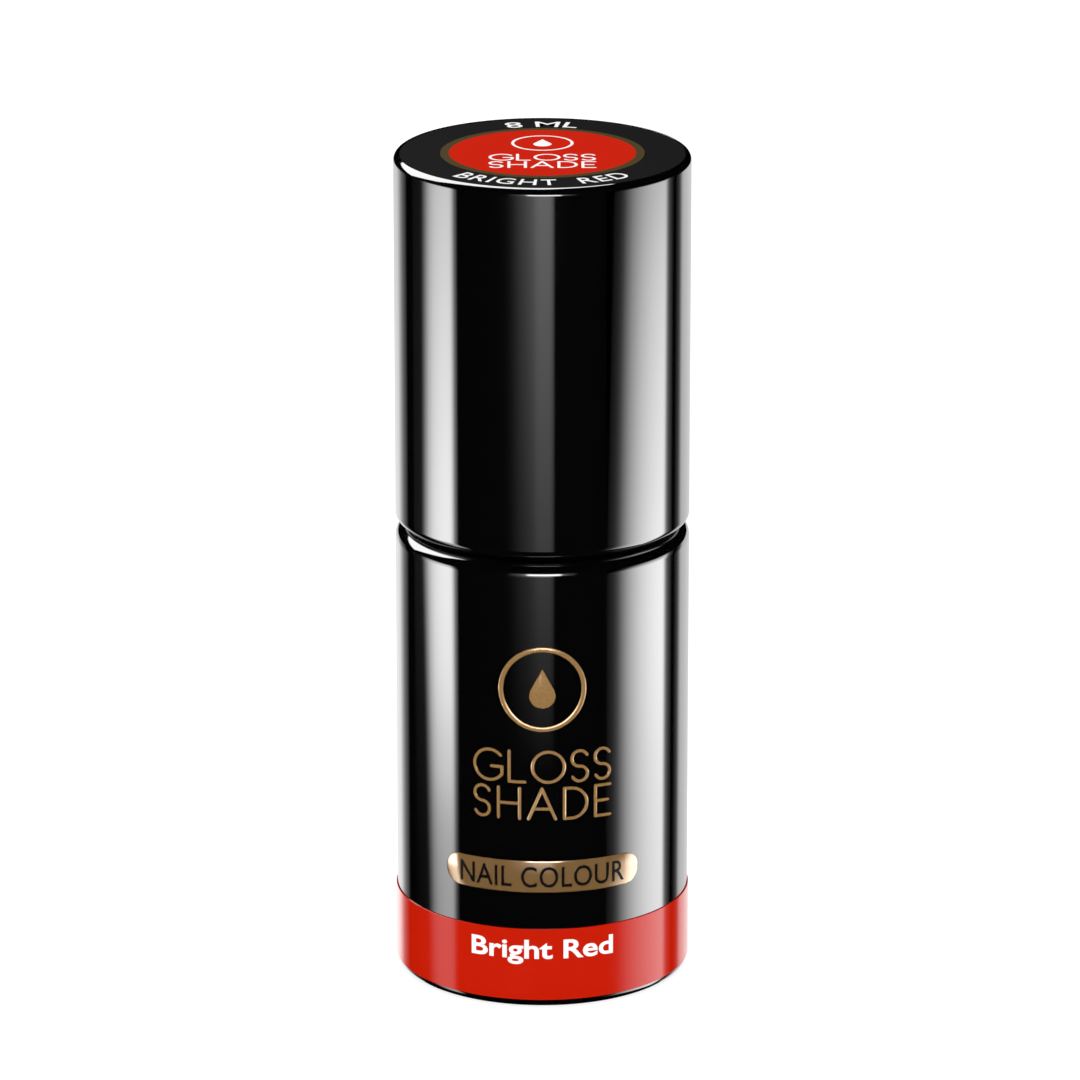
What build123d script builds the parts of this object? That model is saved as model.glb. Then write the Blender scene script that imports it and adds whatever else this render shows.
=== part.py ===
from build123d import *
import math
import os

os.makedirs("parts", exist_ok=True)

# Millimetres, +Z up, Z = 0 on the table. The printed front faces -Y.
# Everything is drawn with the cap screwed home.

# Glass bottle
BODY_R = 13.0  # outside radius of bottle and cap
SHOULDER_Z = 41.1  # top of the shoulder
SHOULDER_FILLET = 1.2
FOOT_FILLET = 0.7
PUNT_R = 9.6  # shallow recess under the base
PUNT_DEPTH = 0.6
CAVITY_R = 9.6
CAVITY_FLOOR_Z = 4.6
CAVITY_FILLET = 3.0
CAVITY_WALL_TOP_Z = 35.0
THROAT_Z = 40.5  # where the sloping roof of the cavity meets the neck bore
NECK_R = 5.75
NECK_BORE_R = 3.6
NECK_TOP_Z = 53.5
BEAD_R = 0.5  # section of the ring low on the neck
BEAD_Z = 42.9

# Screw thread, 12 turns to the inch
PITCH = 2.12
MALE_START_Z = 47.36
MALE_TURNS = 2.0
MALE_R = 6.5
FEMALE_START_Z = 47.7
FEMALE_TURNS = 1.5
FEMALE_R = 6.05
THREAD_ROOT_W = 1.0
THREAD_TIP_W = 0.6
THREAD_SUNK = 0.15  # how far a ridge is sunk into the wall that carries it

# Skins on the bottle
BAND_T = 0.12
BAND_LOW_Z = 0.75
BAND_HIGH_Z = 7.4
FOIL_T = 0.06
EMBLEM_Z = 29.65
EMBLEM_R = 3.88
EMBLEM_STROKE = 0.42
DROP_R = 1.15
DROP_TIP = 2.45  # from the middle of the drop's round end to its point
WORD_HEIGHT = 2.8
WORD_LENGTH = 12.3
WORD_STROKE = 0.27
WORD_UPPER_Z = 22.5
WORD_LOWER_Z = 19.1
PLAQUE_Z = 12.3
PLAQUE_H = 2.9
PLAQUE_W = 16.9
BASE_LABEL_R = 9.0
BASE_LABEL_T = 0.1

# Gel and the clearance for brush and stem in it
GEL_TOP_Z = 32.0
GEL_BORE_R = 3.1

# Liner, stem and brush
LINER_OUT_R = 5.7
LINER_T = 0.9
STEM_R = 1.55
STEM_LOW_Z = 17.0
PLUG_R = 3.2
PLUG_H = 2.2
PLUG_CONE_H = 1.6
FLANGE_R = 5.4
FLANGE_T = 1.2
SPIGOT_R = 2.4
SPIGOT_H = 4.9
SNAP_R = 2.65  # snap ring on the spigot
SNAP_Z = 59.4
SNAP_H = 0.7
TUFT_HOLE_R = 1.1
TUFT_HOLE_DEPTH = 4.2
TUFT_TIP_Z = 6.4
TUFT_SHOULDER_Z = 8.6
TUFT_HALF_W = 2.35
TUFT_HALF_T = 1.15
STAPLE = (2.7, 0.4, 1.3)
STAPLE_Z = 20.0
RUN_FIT = 0.05  # radial clearance where the stem turns in the inner cap

# Inner cap
SKIRT_R = 8.7
SKIRT_BORE_R = 6.8
SKIRT_LOW_Z = 42.3
DISC_R = 11.6  # disc that closes the outer cap from below
DISC_T = 1.0
INNER_TOP_Z = 57.2
HUB_R = 4.6
HUB_TOP_Z = 62.2
RIB_COUNT = 24
RIB_W = 0.7

# Outer cap
CAP_LOW_Z = 41.5
CAP_TOP_Z = 74.6
CAP_BORE_R = 11.75
CAP_ROOF_Z = 72.8
CAP_LOW_FILLET = 0.7
CAP_TOP_FILLET = 0.8
TOP_EDGE_R = 12.6  # where the flat top cuts that fillet off

# Insert, pressed into the outer cap
SOCKET_R = 9.2  # tube that grips the ribs of the inner cap
SOCKET_WALL = 0.9
SOCKET_STEP_R = 8.2
WEB_COUNT = 6
WEB_T = 0.8
PRESS_FIT = 0.01  # the webs end this far short of the outer cap's bore

# Printed discs in the recess of the cap's top
TOP_RECESS_R = 12.5
TOP_RECESS_DEPTH = 0.14
TOP_LABEL_T = 0.08
TOP_RING_R = 8.9
TOP_DISC_R = 8.15
TOP_PRINT_T = 0.04

# Strokes of the capitals, in units of their height:
# bars as x0, y0, x1, y1 and bows as centre, radius, start and sweep in degrees
LETTER_WIDTHS = {"A": 0.84, "D": 0.72, "E": 0.5, "G": 0.92, "H": 0.68, "L": 0.5, "O": 1.0, "S": 0.52}
LETTER_BARS = {
    "A": ((0, 0, 0.42, 1), (0.42, 1, 0.84, 0), (0.14, 0.33, 0.7, 0.33)),
    "D": ((0, 0, 0, 1), (0, 1, 0.22, 1), (0, 0, 0.22, 0)),
    "E": ((0, 0, 0, 1), (0, 1, 0.5, 1), (0, 0.5, 0.42, 0.5), (0, 0, 0.5, 0)),
    "G": ((0.58, 0.46, 0.92, 0.46), (0.92, 0.46, 0.92, 0.23)),
    "H": ((0, 0, 0, 1), (0, 0.5, 0.68, 0.5), (0.68, 0, 0.68, 1)),
    "L": ((0, 1, 0, 0), (0, 0, 0.5, 0)),
}
LETTER_BOWS = {
    "D": ((0.22, 0.5, 0.5, -90, 180),),
    "G": ((0.5, 0.5, 0.5, 42, 286),),
    "O": ((0.5, 0.5, 0.5, 0, 360),),
    "S": ((0.26, 0.745, 0.255, 25, 245), (0.26, 0.245, 0.245, -155, 245)),
}

LINER_TOP_Z = NECK_TOP_Z + LINER_T
FLANGE_TOP_Z = LINER_TOP_Z + FLANGE_T


def rod(radius, low, high):
    return Pos(0, 0, low) * Cylinder(radius, high - low, align=(Align.CENTER, Align.CENTER, Align.MIN))


def tube(outer, inner, low, high):
    return rod(outer, low, high) - rod(inner, low, high)


def turned(points):
    """A solid of revolution about Z from a closed outline of (radius, height) points."""
    outline = make_face(Polyline(*points, close=True).edges())
    return revolve(Plane.XZ * outline, Axis.Z)


def ring_edges(solid, radius, height, reach=0.01):
    """The circular edges of a solid about Z with this radius and height."""
    rings = solid.edges().filter_by(GeomType.CIRCLE)
    return [e for e in rings if abs(e.radius - radius) < reach and abs(e.center().Z - height) < reach]


def thread_ridge(root_r, tip_r, start_z, turns, start_deg):
    """A right-handed helical ridge from root_r to tip_r, starting at start_deg about Z."""
    path = Helix(pitch=PITCH, height=PITCH * turns, radius=root_r)
    section = Plane(origin=path @ 0, x_dir=(1, 0, 0), z_dir=path % 0)
    depth = tip_r - root_r
    corners = [
        (0, THREAD_ROOT_W / 2),
        (depth, THREAD_TIP_W / 2),
        (depth, -THREAD_TIP_W / 2),
        (0, -THREAD_ROOT_W / 2),
    ]
    profile = section * make_face(Polyline(*corners, close=True).edges())
    ridge = sweep(profile, path=path, is_frenet=True)
    return Pos(0, 0, start_z) * Rot(0, 0, start_deg) * ridge


def cavity():
    """The room for the gel, with the neck bore."""
    room = turned(
        [
            (0, CAVITY_FLOOR_Z),
            (CAVITY_R, CAVITY_FLOOR_Z),
            (CAVITY_R, CAVITY_WALL_TOP_Z),
            (NECK_BORE_R, THROAT_Z),
            (0, THROAT_Z),
        ]
    )
    return fillet(ring_edges(room, CAVITY_R, CAVITY_FLOOR_Z), CAVITY_FILLET)


def glass_bottle():
    body = rod(BODY_R, 0, SHOULDER_Z)
    body = fillet(ring_edges(body, BODY_R, SHOULDER_Z), SHOULDER_FILLET)
    body = fillet(ring_edges(body, BODY_R, 0), FOOT_FILLET)
    bead = Pos(0, 0, BEAD_Z) * Torus(NECK_R, BEAD_R)
    neck = rod(NECK_R, SHOULDER_Z - 1, NECK_TOP_Z)
    ridge = thread_ridge(NECK_R - THREAD_SUNK, MALE_R, MALE_START_Z, MALE_TURNS, 0)
    solid = body + neck + bead + ridge
    solid -= cavity()
    solid -= rod(NECK_BORE_R, THROAT_Z - 0.1, NECK_TOP_Z)
    return solid - rod(PUNT_R, 0, PUNT_DEPTH)


def colour_band():
    return tube(BODY_R + BAND_T, BODY_R, BAND_LOW_Z, BAND_HIGH_Z)


def foil(sketch, height):
    """A front-facing outline printed on the cylinder as a thin skin."""
    front = Plane(origin=(0, 0, height), x_dir=(1, 0, 0), z_dir=(0, -1, 0))
    stamp = extrude(front * sketch, BODY_R + 1)
    skin = tube(BODY_R + FOIL_T, BODY_R, height - EMBLEM_R - 1, height + EMBLEM_R + 1)
    return skin & stamp


def foil_emblem():
    drop = Circle(DROP_R)
    side = DROP_R * math.sqrt(1 - (DROP_R / DROP_TIP) ** 2)
    touch = DROP_R**2 / DROP_TIP
    drop += make_face(Polyline((-side, touch), (side, touch), (0, DROP_TIP), close=True).edges())
    ring = Circle(EMBLEM_R) - Circle(EMBLEM_R - EMBLEM_STROKE)
    return foil(ring + Pos(0, -DROP_R / 2) * drop, EMBLEM_Z)


def bar(start, end):
    """One straight stroke of a letter, round at both ends."""
    dot = Circle(WORD_STROKE / 2)
    return trace(Line(start, end), line_width=WORD_STROKE) + Pos(*start) * dot + Pos(*end) * dot


def bow(centre, radius, from_deg, sweep_deg):
    """One round stroke of a letter."""
    return trace(CenterArc(centre, radius, from_deg, sweep_deg), line_width=WORD_STROKE)


def letter(name):
    """A capital in even strokes, with its lower left corner at the origin."""
    h = WORD_HEIGHT
    shape = Sketch()
    for x0, y0, x1, y1 in LETTER_BARS.get(name, ()):
        shape += bar((x0 * h, y0 * h), (x1 * h, y1 * h))
    for x, y, radius, from_deg, sweep_deg in LETTER_BOWS.get(name, ()):
        shape += bow((x * h, y * h), radius * h, from_deg, sweep_deg)
    return shape


def word(text, height):
    """A centred word on the front of the cylinder, as one solid for each letter."""
    widths = [LETTER_WIDTHS[name] * WORD_HEIGHT for name in text]
    gap = (WORD_LENGTH - sum(widths)) / (len(text) - 1)
    solids = []
    x = -WORD_LENGTH / 2
    for name, width in zip(text, widths):
        solids += foil(Pos(x, -WORD_HEIGHT / 2) * letter(name), height).solids()
        x += width + gap
    return solids


def foil_words():
    return Compound(children=word("GLOSS", WORD_UPPER_Z) + word("SHADE", WORD_LOWER_Z))


def foil_plaque():
    return foil(SlotOverall(PLAQUE_W, PLAQUE_H), PLAQUE_Z)


def base_label():
    return rod(BASE_LABEL_R, PUNT_DEPTH - BASE_LABEL_T, PUNT_DEPTH)


def gel_fill():
    above = rod(CAVITY_R, GEL_TOP_Z, THROAT_Z)
    return cavity() - above - rod(GEL_BORE_R, CAVITY_FLOOR_Z, THROAT_Z)


def seal_liner():
    return tube(LINER_OUT_R, NECK_BORE_R, NECK_TOP_Z, LINER_TOP_Z)


def staple():
    return Pos(0, 0, STAPLE_Z) * Box(*STAPLE)


def brush_stem():
    plug_z = LINER_TOP_Z - LINER_T - PLUG_H
    spigot_top = FLANGE_TOP_Z + SPIGOT_H
    solid = turned(
        [
            (0, STEM_LOW_Z),
            (STEM_R, STEM_LOW_Z),
            (STEM_R, plug_z - PLUG_CONE_H),
            (PLUG_R, plug_z),
            (PLUG_R, LINER_TOP_Z),
            (FLANGE_R, LINER_TOP_Z),
            (FLANGE_R, FLANGE_TOP_Z),
            (SPIGOT_R, FLANGE_TOP_Z),
            (SPIGOT_R, SNAP_Z),
            (SNAP_R, SNAP_Z + SNAP_H / 3),
            (SNAP_R, SNAP_Z + SNAP_H / 2),
            (SPIGOT_R, SNAP_Z + SNAP_H),
            (SPIGOT_R, spigot_top),
            (0, spigot_top),
        ]
    )
    solid -= rod(TUFT_HOLE_R, STEM_LOW_Z, STEM_LOW_Z + TUFT_HOLE_DEPTH)
    return solid - staple()


def bristle_tuft():
    root = rod(TUFT_HOLE_R, STEM_LOW_Z, STEM_LOW_Z + TUFT_HOLE_DEPTH)
    tip_w = TUFT_HALF_W - 0.9
    tip_t = TUFT_HALF_T - 0.4
    fan = loft(
        [
            Pos(0, 0, STEM_LOW_Z) * Ellipse(TUFT_HOLE_R, TUFT_HOLE_R),
            Pos(0, 0, TUFT_SHOULDER_Z) * Ellipse(TUFT_HALF_W, TUFT_HALF_T),
        ]
    )
    tip = loft(
        [
            Pos(0, 0, TUFT_SHOULDER_Z) * Ellipse(TUFT_HALF_W, TUFT_HALF_T),
            Pos(0, 0, TUFT_TIP_Z) * Ellipse(tip_w, tip_t),
        ]
    )
    return root + fan + tip - staple()


def inner_cap():
    solid = rod(SKIRT_R, SKIRT_LOW_Z, INNER_TOP_Z)
    solid += rod(DISC_R, SKIRT_LOW_Z, SKIRT_LOW_Z + DISC_T)
    solid += rod(HUB_R, INNER_TOP_Z - 1, HUB_TOP_Z)
    rib_low = SKIRT_LOW_Z + DISC_T - 0.2
    rib_h = INNER_TOP_Z - 0.4 - rib_low
    rib_l = SOCKET_R - SKIRT_R + 0.3
    rib = Pos(SOCKET_R - rib_l / 2 - 0.02, 0, rib_low + rib_h / 2) * Box(rib_l, RIB_W, rib_h)
    for k in range(RIB_COUNT):
        solid += Rot(0, 0, 360 * k / RIB_COUNT) * rib
    solid -= rod(SKIRT_BORE_R, SKIRT_LOW_Z, LINER_TOP_Z)
    solid -= rod(FLANGE_R + RUN_FIT, LINER_TOP_Z, FLANGE_TOP_Z + RUN_FIT)
    solid -= rod(SPIGOT_R + RUN_FIT, FLANGE_TOP_Z, FLANGE_TOP_Z + SPIGOT_H + 3 * RUN_FIT)
    solid -= rod(SNAP_R + RUN_FIT, SNAP_Z - RUN_FIT, SNAP_Z + SNAP_H + RUN_FIT)
    start_deg = 360 * (FEMALE_START_Z - MALE_START_Z - PITCH / 2) / PITCH
    return solid + thread_ridge(
        SKIRT_BORE_R + THREAD_SUNK, FEMALE_R, FEMALE_START_Z, FEMALE_TURNS, start_deg
    )


def outer_cap():
    rise = CAP_TOP_FILLET - math.sqrt(CAP_TOP_FILLET**2 - (TOP_EDGE_R - BODY_R + CAP_TOP_FILLET) ** 2)
    full_z = CAP_TOP_Z + rise
    shell = rod(BODY_R, CAP_LOW_Z, full_z)
    shell = fillet(ring_edges(shell, BODY_R, full_z), CAP_TOP_FILLET)
    shell = fillet(ring_edges(shell, BODY_R, CAP_LOW_Z), CAP_LOW_FILLET)
    shell -= rod(BODY_R, CAP_TOP_Z, full_z + 1)
    shell -= rod(CAP_BORE_R, CAP_LOW_Z, CAP_ROOF_Z)
    return shell - rod(TOP_RECESS_R, CAP_TOP_Z - TOP_RECESS_DEPTH, CAP_TOP_Z)


def cap_insert():
    """The socket tube with its webs, between the inner cap and the outer cap."""
    low = SKIRT_LOW_Z + DISC_T + 0.2
    out_r = SOCKET_R + SOCKET_WALL
    insert = tube(out_r, SOCKET_R, low, CAP_ROOF_Z)
    insert += tube(SOCKET_R + 0.2, SOCKET_STEP_R, INNER_TOP_Z, CAP_ROOF_Z)
    web_l = CAP_BORE_R - PRESS_FIT - out_r + 0.2
    web_h = CAP_ROOF_Z - low
    web = Pos(CAP_BORE_R - PRESS_FIT - web_l / 2, 0, low + web_h / 2) * Box(web_l, WEB_T, web_h)
    for k in range(WEB_COUNT):
        insert += Rot(0, 0, 360 * k / WEB_COUNT) * web
    return insert


def top_label():
    low = CAP_TOP_Z - TOP_RECESS_DEPTH
    return rod(TOP_RECESS_R - 0.05, low, low + TOP_LABEL_T)


def top_gold_ring():
    low = CAP_TOP_Z - TOP_RECESS_DEPTH + TOP_LABEL_T
    return tube(TOP_RING_R, TOP_DISC_R, low, low + TOP_PRINT_T)


def top_red_disc():
    low = CAP_TOP_Z - TOP_RECESS_DEPTH + TOP_LABEL_T
    return rod(TOP_DISC_R, low, low + TOP_PRINT_T)


NODES = (
    glass_bottle,
    colour_band,
    foil_emblem,
    foil_words,
    foil_plaque,
    base_label,
    gel_fill,
    seal_liner,
    brush_stem,
    bristle_tuft,
    inner_cap,
    cap_insert,
    outer_cap,
    top_label,
    top_gold_ring,
    top_red_disc,
)

for make in NODES:
    export_step(make(), f"parts/{make.__name__}.step")
export_step(staple(), "parts/bristle_staple.step")
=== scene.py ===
"""Gloss-black nail polish bottle with a red band, gold foil front and printed cap."""
import math
import random

import bmesh
import bpy
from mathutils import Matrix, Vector


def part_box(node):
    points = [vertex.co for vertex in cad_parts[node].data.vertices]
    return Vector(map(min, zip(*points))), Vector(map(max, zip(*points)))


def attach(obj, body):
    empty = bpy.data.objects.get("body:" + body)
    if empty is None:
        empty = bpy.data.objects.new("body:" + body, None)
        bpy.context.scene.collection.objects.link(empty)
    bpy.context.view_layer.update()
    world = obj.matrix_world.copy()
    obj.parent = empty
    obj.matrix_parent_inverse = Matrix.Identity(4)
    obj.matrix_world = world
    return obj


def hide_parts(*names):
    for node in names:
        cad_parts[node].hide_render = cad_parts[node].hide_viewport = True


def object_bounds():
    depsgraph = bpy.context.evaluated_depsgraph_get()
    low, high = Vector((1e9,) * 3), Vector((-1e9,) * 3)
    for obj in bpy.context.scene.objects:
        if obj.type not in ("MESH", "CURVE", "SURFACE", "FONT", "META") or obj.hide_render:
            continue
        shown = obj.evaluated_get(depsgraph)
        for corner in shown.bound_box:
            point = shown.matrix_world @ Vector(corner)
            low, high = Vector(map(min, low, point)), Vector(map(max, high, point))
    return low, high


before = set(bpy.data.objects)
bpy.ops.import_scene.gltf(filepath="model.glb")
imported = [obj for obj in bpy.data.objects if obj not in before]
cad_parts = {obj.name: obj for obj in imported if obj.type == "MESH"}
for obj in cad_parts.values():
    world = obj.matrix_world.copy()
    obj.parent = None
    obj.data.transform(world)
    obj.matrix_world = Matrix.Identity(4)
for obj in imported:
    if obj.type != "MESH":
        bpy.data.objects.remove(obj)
cad_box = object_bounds()

MM = 0.001
TURN = 2 * math.pi
SEGMENTS = 192  # faces round a turned piece


# ---------------------------------------------------------------- sizes, in millimetres


def low_high(node):
    """The lowest and highest point of a CAD node."""
    return tuple(corner.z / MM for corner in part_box(node))


def radius_of(node):
    """Half the width of a CAD node that is centred on the bottle's axis."""
    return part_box(node)[1].x / MM


BODY_R = radius_of("outer_cap")
BAND_R = radius_of("colour_band")
BAND_LOW, BAND_HIGH = low_high("colour_band")
CAP_LOW, CAP_TOP = low_high("outer_cap")
NECK_TOP = low_high("glass_bottle")[1]
EMBLEM_LOW, EMBLEM_HIGH = low_high("foil_emblem")
PLAQUE_LOW, PLAQUE_HIGH = low_high("foil_plaque")
PLAQUE_W = 2 * radius_of("foil_plaque")
DISC_TOP = low_high("top_red_disc")[1]
LABEL_TOP = low_high("top_label")[1]
LINER_LOW, LINER_HIGH = low_high("seal_liner")
LINER_R = radius_of("seal_liner")
TUFT_LOW = low_high("bristle_tuft")[0]
TUFT_HALF_W = radius_of("bristle_tuft")
TUFT_HALF_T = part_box("bristle_tuft")[1].y / MM
STEM_LOW = low_high("brush_stem")[0]
BASE_PRINT_Z = low_high("base_label")[0]

# The bottle's and cap's outlines, as they are in the CAD model
SHOULDER = 41.1
SHOULDER_FILLET = 1.2
FOOT_FILLET = 0.7
PUNT_R = 9.6
PUNT_DEPTH = 0.6
NECK_R = 5.75
NECK_BORE = 3.6
THROAT = 40.5
CAVITY_R = 9.6
CAVITY_WALL_TOP = 35.0
CAVITY_FLOOR = 4.6
CAVITY_FILLET = 3.0
THREAD_START = 47.36
THREAD_PITCH = 2.12
THREAD_TURNS = 2.0
THREAD_R = 6.5
CAP_LOW_FILLET = 0.7
TOP_EDGE_R = 12.6
TOP_RECESS_R = 12.5
TOP_RECESS = 0.14
CAP_BORE = 11.75
CAP_ROOF = 72.8

# The ring low on the neck and the small edges, in sizes of this script's own
BEAD_R = 6.25
BEAD_LOW, BEAD_HIGH = 42.4, 43.4
BEAD_SLANT = 0.1  # how far the ring's lower and upper faces each slope on their way out
PUNT_FILLET = 0.25
NECK_FOOT_FILLET = 0.4
BEAD_FILLET = 0.2
BEAD_FOOT_FILLET = 0.1
NECK_LIP_FILLET = 0.5
THROAT_FILLET = 1.0
CAVITY_ROOF_FILLET = 1.5
CAP_TOP_FILLET = 0.67
CAP_TOP_SLOPE = math.radians(30)  # the cap's top falls off this steeply outside TOP_EDGE_R
CAP_BORE_FILLET = 0.2
LINER_FILLET = 0.15

# Gold foil on the front
FOIL_H = 0.06  # how far the foil stands above the glass
WORD_STROKE = 0.27
WORD_LENGTH = 12.3
WORD_HEIGHT = 2.8
WORD_MIDDLES = {"GLOSS": 22.5, "SHADE": 19.1}
EMBLEM_STROKE = 0.42
DROP_R = 1.15
DROP_TIP = 2.45  # from the middle of the drop's round end to its point
DROP_MIDDLE = -0.575  # where that middle is, from the middle of the ring
DROP_FLAT_R = 1.03  # the drop's flat top, inside its sloping edge
DROP_FLAT_TIP = 2.2
PLAQUE_SLOPE = 0.24  # how much smaller the plaque's flat top is than its foot

# Ink: each line of text is (words, length, height, boldness)
INK_H = 0.012
PLAQUE_INK_H = 0.05
BAND_TEXT = ("Bright Red", 13.0, 1.72, 0.022)
BAND_TEXT_Z = 5.55
PLAQUE_TEXT = ("NAIL COLOUR", 15.2, 1.9, 0.004)
TOP_FRONT_TEXT = ("BRIGHT  RED", 15.6, 1.9, 0.006)
TOP_FRONT_R = 10.35  # radius of the line that this text's middle follows
TOP_BACK_TEXT = ("8 ML", 6.6, 1.9, 0.006)
TOP_BACK_R = 10.45
BASE_NAME_TEXT = ("NAIL COLOUR", 10.5, 1.5, 0.004)
BASE_NAME_MIDDLE = 2.2
BASE_SIZE_TEXT = ("8 ML", 4.2, 1.8, 0.004)
BASE_SIZE_MIDDLE = -1.6
BASE_RING_R = 8.2
BASE_STROKE = 0.2
TOP_STROKE = 0.26
TOP_RING_MIDDLE = 3.4
TOP_RING_R = 2.6
TOP_DROP_R = 0.8
TOP_DROP_TIP = 1.75
TOP_DROP_MIDDLE = 3.0
TOP_DROP_FLAT_R = 0.76
TOP_DROP_FLAT_TIP = 1.67
TOP_WORD_LENGTH = 9.1
TOP_WORD_HEIGHT = 2.1
TOP_WORD_MIDDLES = {"GLOSS": -1.7, "SHADE": -4.3}


# ---------------------------------------------------------------- camera and light

CAMERA_DISTANCE = 23 * 2 * BODY_R * MM  # 23 diameters of the bottle
CAMERA_ELEVATION = math.radians(17.5)
CAMERA_RISE = math.radians(0.18)  # how far the view points above the bottle's middle
CAMERA_TURN = math.radians(0.021)  # and to its left
CAMERA_LENS = 224.9


def make_camera():
    low, high = cad_box
    middle = (Vector(low) + Vector(high)) / 2
    away = Vector((0, -math.cos(CAMERA_ELEVATION), math.sin(CAMERA_ELEVATION)))
    camera = bpy.data.objects.new("camera", bpy.data.cameras.new("camera"))
    camera.data.lens = CAMERA_LENS
    camera.data.clip_start = 0.01
    camera.location = middle + away * CAMERA_DISTANCE
    camera.rotation_euler = (math.pi / 2 - CAMERA_ELEVATION + CAMERA_RISE, 0, CAMERA_TURN)
    bpy.context.scene.collection.objects.link(camera)
    bpy.context.scene.camera = camera


# Light panels on a sphere round the bottle, which only reflections see. Each has columns of
# (azimuth, lowest, highest) in degrees, with azimuth round Z from the front, positive to the right.
# across and up are stops of (place, level) from its first column to its last and from low to high.
# foot and head say how much narrower than at its waist the light is there, away from its start.
TENT_R = 0.30  # radius of that sphere, in metres
TENT_Z = 0.037  # height of its middle
WAIST = 0.64  # where up a panel its light is widest
PANEL_STRIPS = 24  # faces from one column to the next
PANEL_ROWS = 25
EVEN = ((0, 1), (1, 1))
PANELS = {
    "panel_left": {
        "columns": ((-118, -45, 0), (-68, -45, 0)),
        "strength": 2.9,
        "across": (
            (0, 0.006), (0.2, 0.012), (0.3, 0.2), (0.42, 0.6), (0.58, 0.9),
            (0.8, 1), (0.91, 0.55), (0.95, 0.2), (1, 0.03),
        ),
        "up": ((0, 0.35), (0.45, 0.4), (0.53, 0.72), (0.64, 1), (0.73, 0.9), (0.84, 0.69), (1, 0.4)),
        "foot": 0.64,
        "head": 0.06,
    },
    "panel_right": {
        "columns": ((50, -45, 0), (120, -45, 0)),
        "strength": 2.96,
        "across": (
            (0, 0), (0.11, 0.04), (0.2, 0.2), (0.3, 0.44), (0.51, 0.8),
            (0.7, 0.97), (0.78, 1), (0.86, 0.42), (0.92, 0.08), (1, 0),
        ),
        "up": ((0, 0.8), (0.49, 0.89), (0.6, 1), (0.68, 0.91), (0.79, 0.73), (0.84, 0.59), (1, 0.3)),
        "head": 0.15,
    },
    "panel_back_left": {
        "columns": ((-180, -45, -2), (-128, -45, -2)),
        "strength": 1.84,
        "across": ((0, 0.65), (0.19, 0.7), (0.54, 1), (0.67, 0.75), (0.83, 0.26), (1, 0)),
        "up": ((0, 1), (0.52, 1), (0.88, 0.78), (1, 0.6)),
    },
    "panel_back_right": {
        "columns": ((124, -45, -2), (180, -45, -2)),
        "strength": 1.35,
        "across": ((0, 0), (0.1, 0.1), (0.18, 0.5), (0.28, 0.95), (0.46, 1), (0.82, 0.75), (1, 0.65)),
    },
    "panel_front": {
        "columns": ((-36, -21, -3), (9.5, -21, -3)),
        "strength": 0.52,
        "across": (
            (0, 0), (0.22, 0.03), (0.42, 0.27), (0.615, 0.6),
            (0.79, 1), (0.88, 1), (0.94, 0.8), (1, 0),
        ),
        "up": ((0, 0), (1, 1)),
    },
    "panel_front_edge": {
        "columns": ((-26, -2.5, 10), (26, -2.5, 10)),
        "strength": 3.6,
        "across": ((0, 0), (0.24, 0.12), (0.335, 1), (0.725, 1), (0.8, 0.12), (1, 0)),
    },
    "panel_side": {
        "columns": ((-159, 28, 63), (-134, 18, 63), (-116, 8, 63), (-93, 36, 63)),
        "strength": 3.2,
    },
    "panel_over": {
        "columns": ((-225, 63, 90), (-92, 63, 90)),
        "strength": 3.2,
    },
}


def float_curve(nodes, stops):
    """A smooth curve node through stops of (place, level)."""
    node = nodes.new("ShaderNodeFloatCurve")
    curve = node.mapping.curves[0]
    for place, level in stops[1:-1]:
        curve.points.new(place, level)
    curve.points[0].location = stops[0]
    curve.points[-1].location = stops[-1]
    for point in curve.points:
        point.handle_type = "AUTO_CLAMPED"
    return node


def emission(name, strength, across, up):
    """White light whose level varies across a panel and up it."""
    mat = bpy.data.materials.new(name)
    mat.use_nodes = True
    nodes, links = mat.node_tree.nodes, mat.node_tree.links
    nodes.clear()
    place = nodes.new("ShaderNodeUVMap")
    split = nodes.new("ShaderNodeSeparateXYZ")
    links.new(place.outputs["UV"], split.inputs["Vector"])
    level = nodes.new("ShaderNodeMath")
    level.operation = "MULTIPLY"
    for k, (axis, stops) in enumerate((("X", across), ("Y", up))):
        curve = float_curve(nodes, stops)
        links.new(split.outputs[axis], curve.inputs["Value"])
        links.new(curve.outputs["Value"], level.inputs[k])
    light = nodes.new("ShaderNodeEmission")
    light.inputs["Strength"].default_value = strength
    links.new(level.outputs["Value"], light.inputs["Color"])
    out = nodes.new("ShaderNodeOutputMaterial")
    links.new(light.outputs["Emission"], out.inputs["Surface"])
    return mat


def narrowing(height, foot, head):
    """How much narrower than at its waist a panel's light is at a height from 0 to 1."""
    if height < WAIST:
        return foot * (WAIST - height) / WAIST
    return head * (height - WAIST) / (1 - WAIST)


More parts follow.
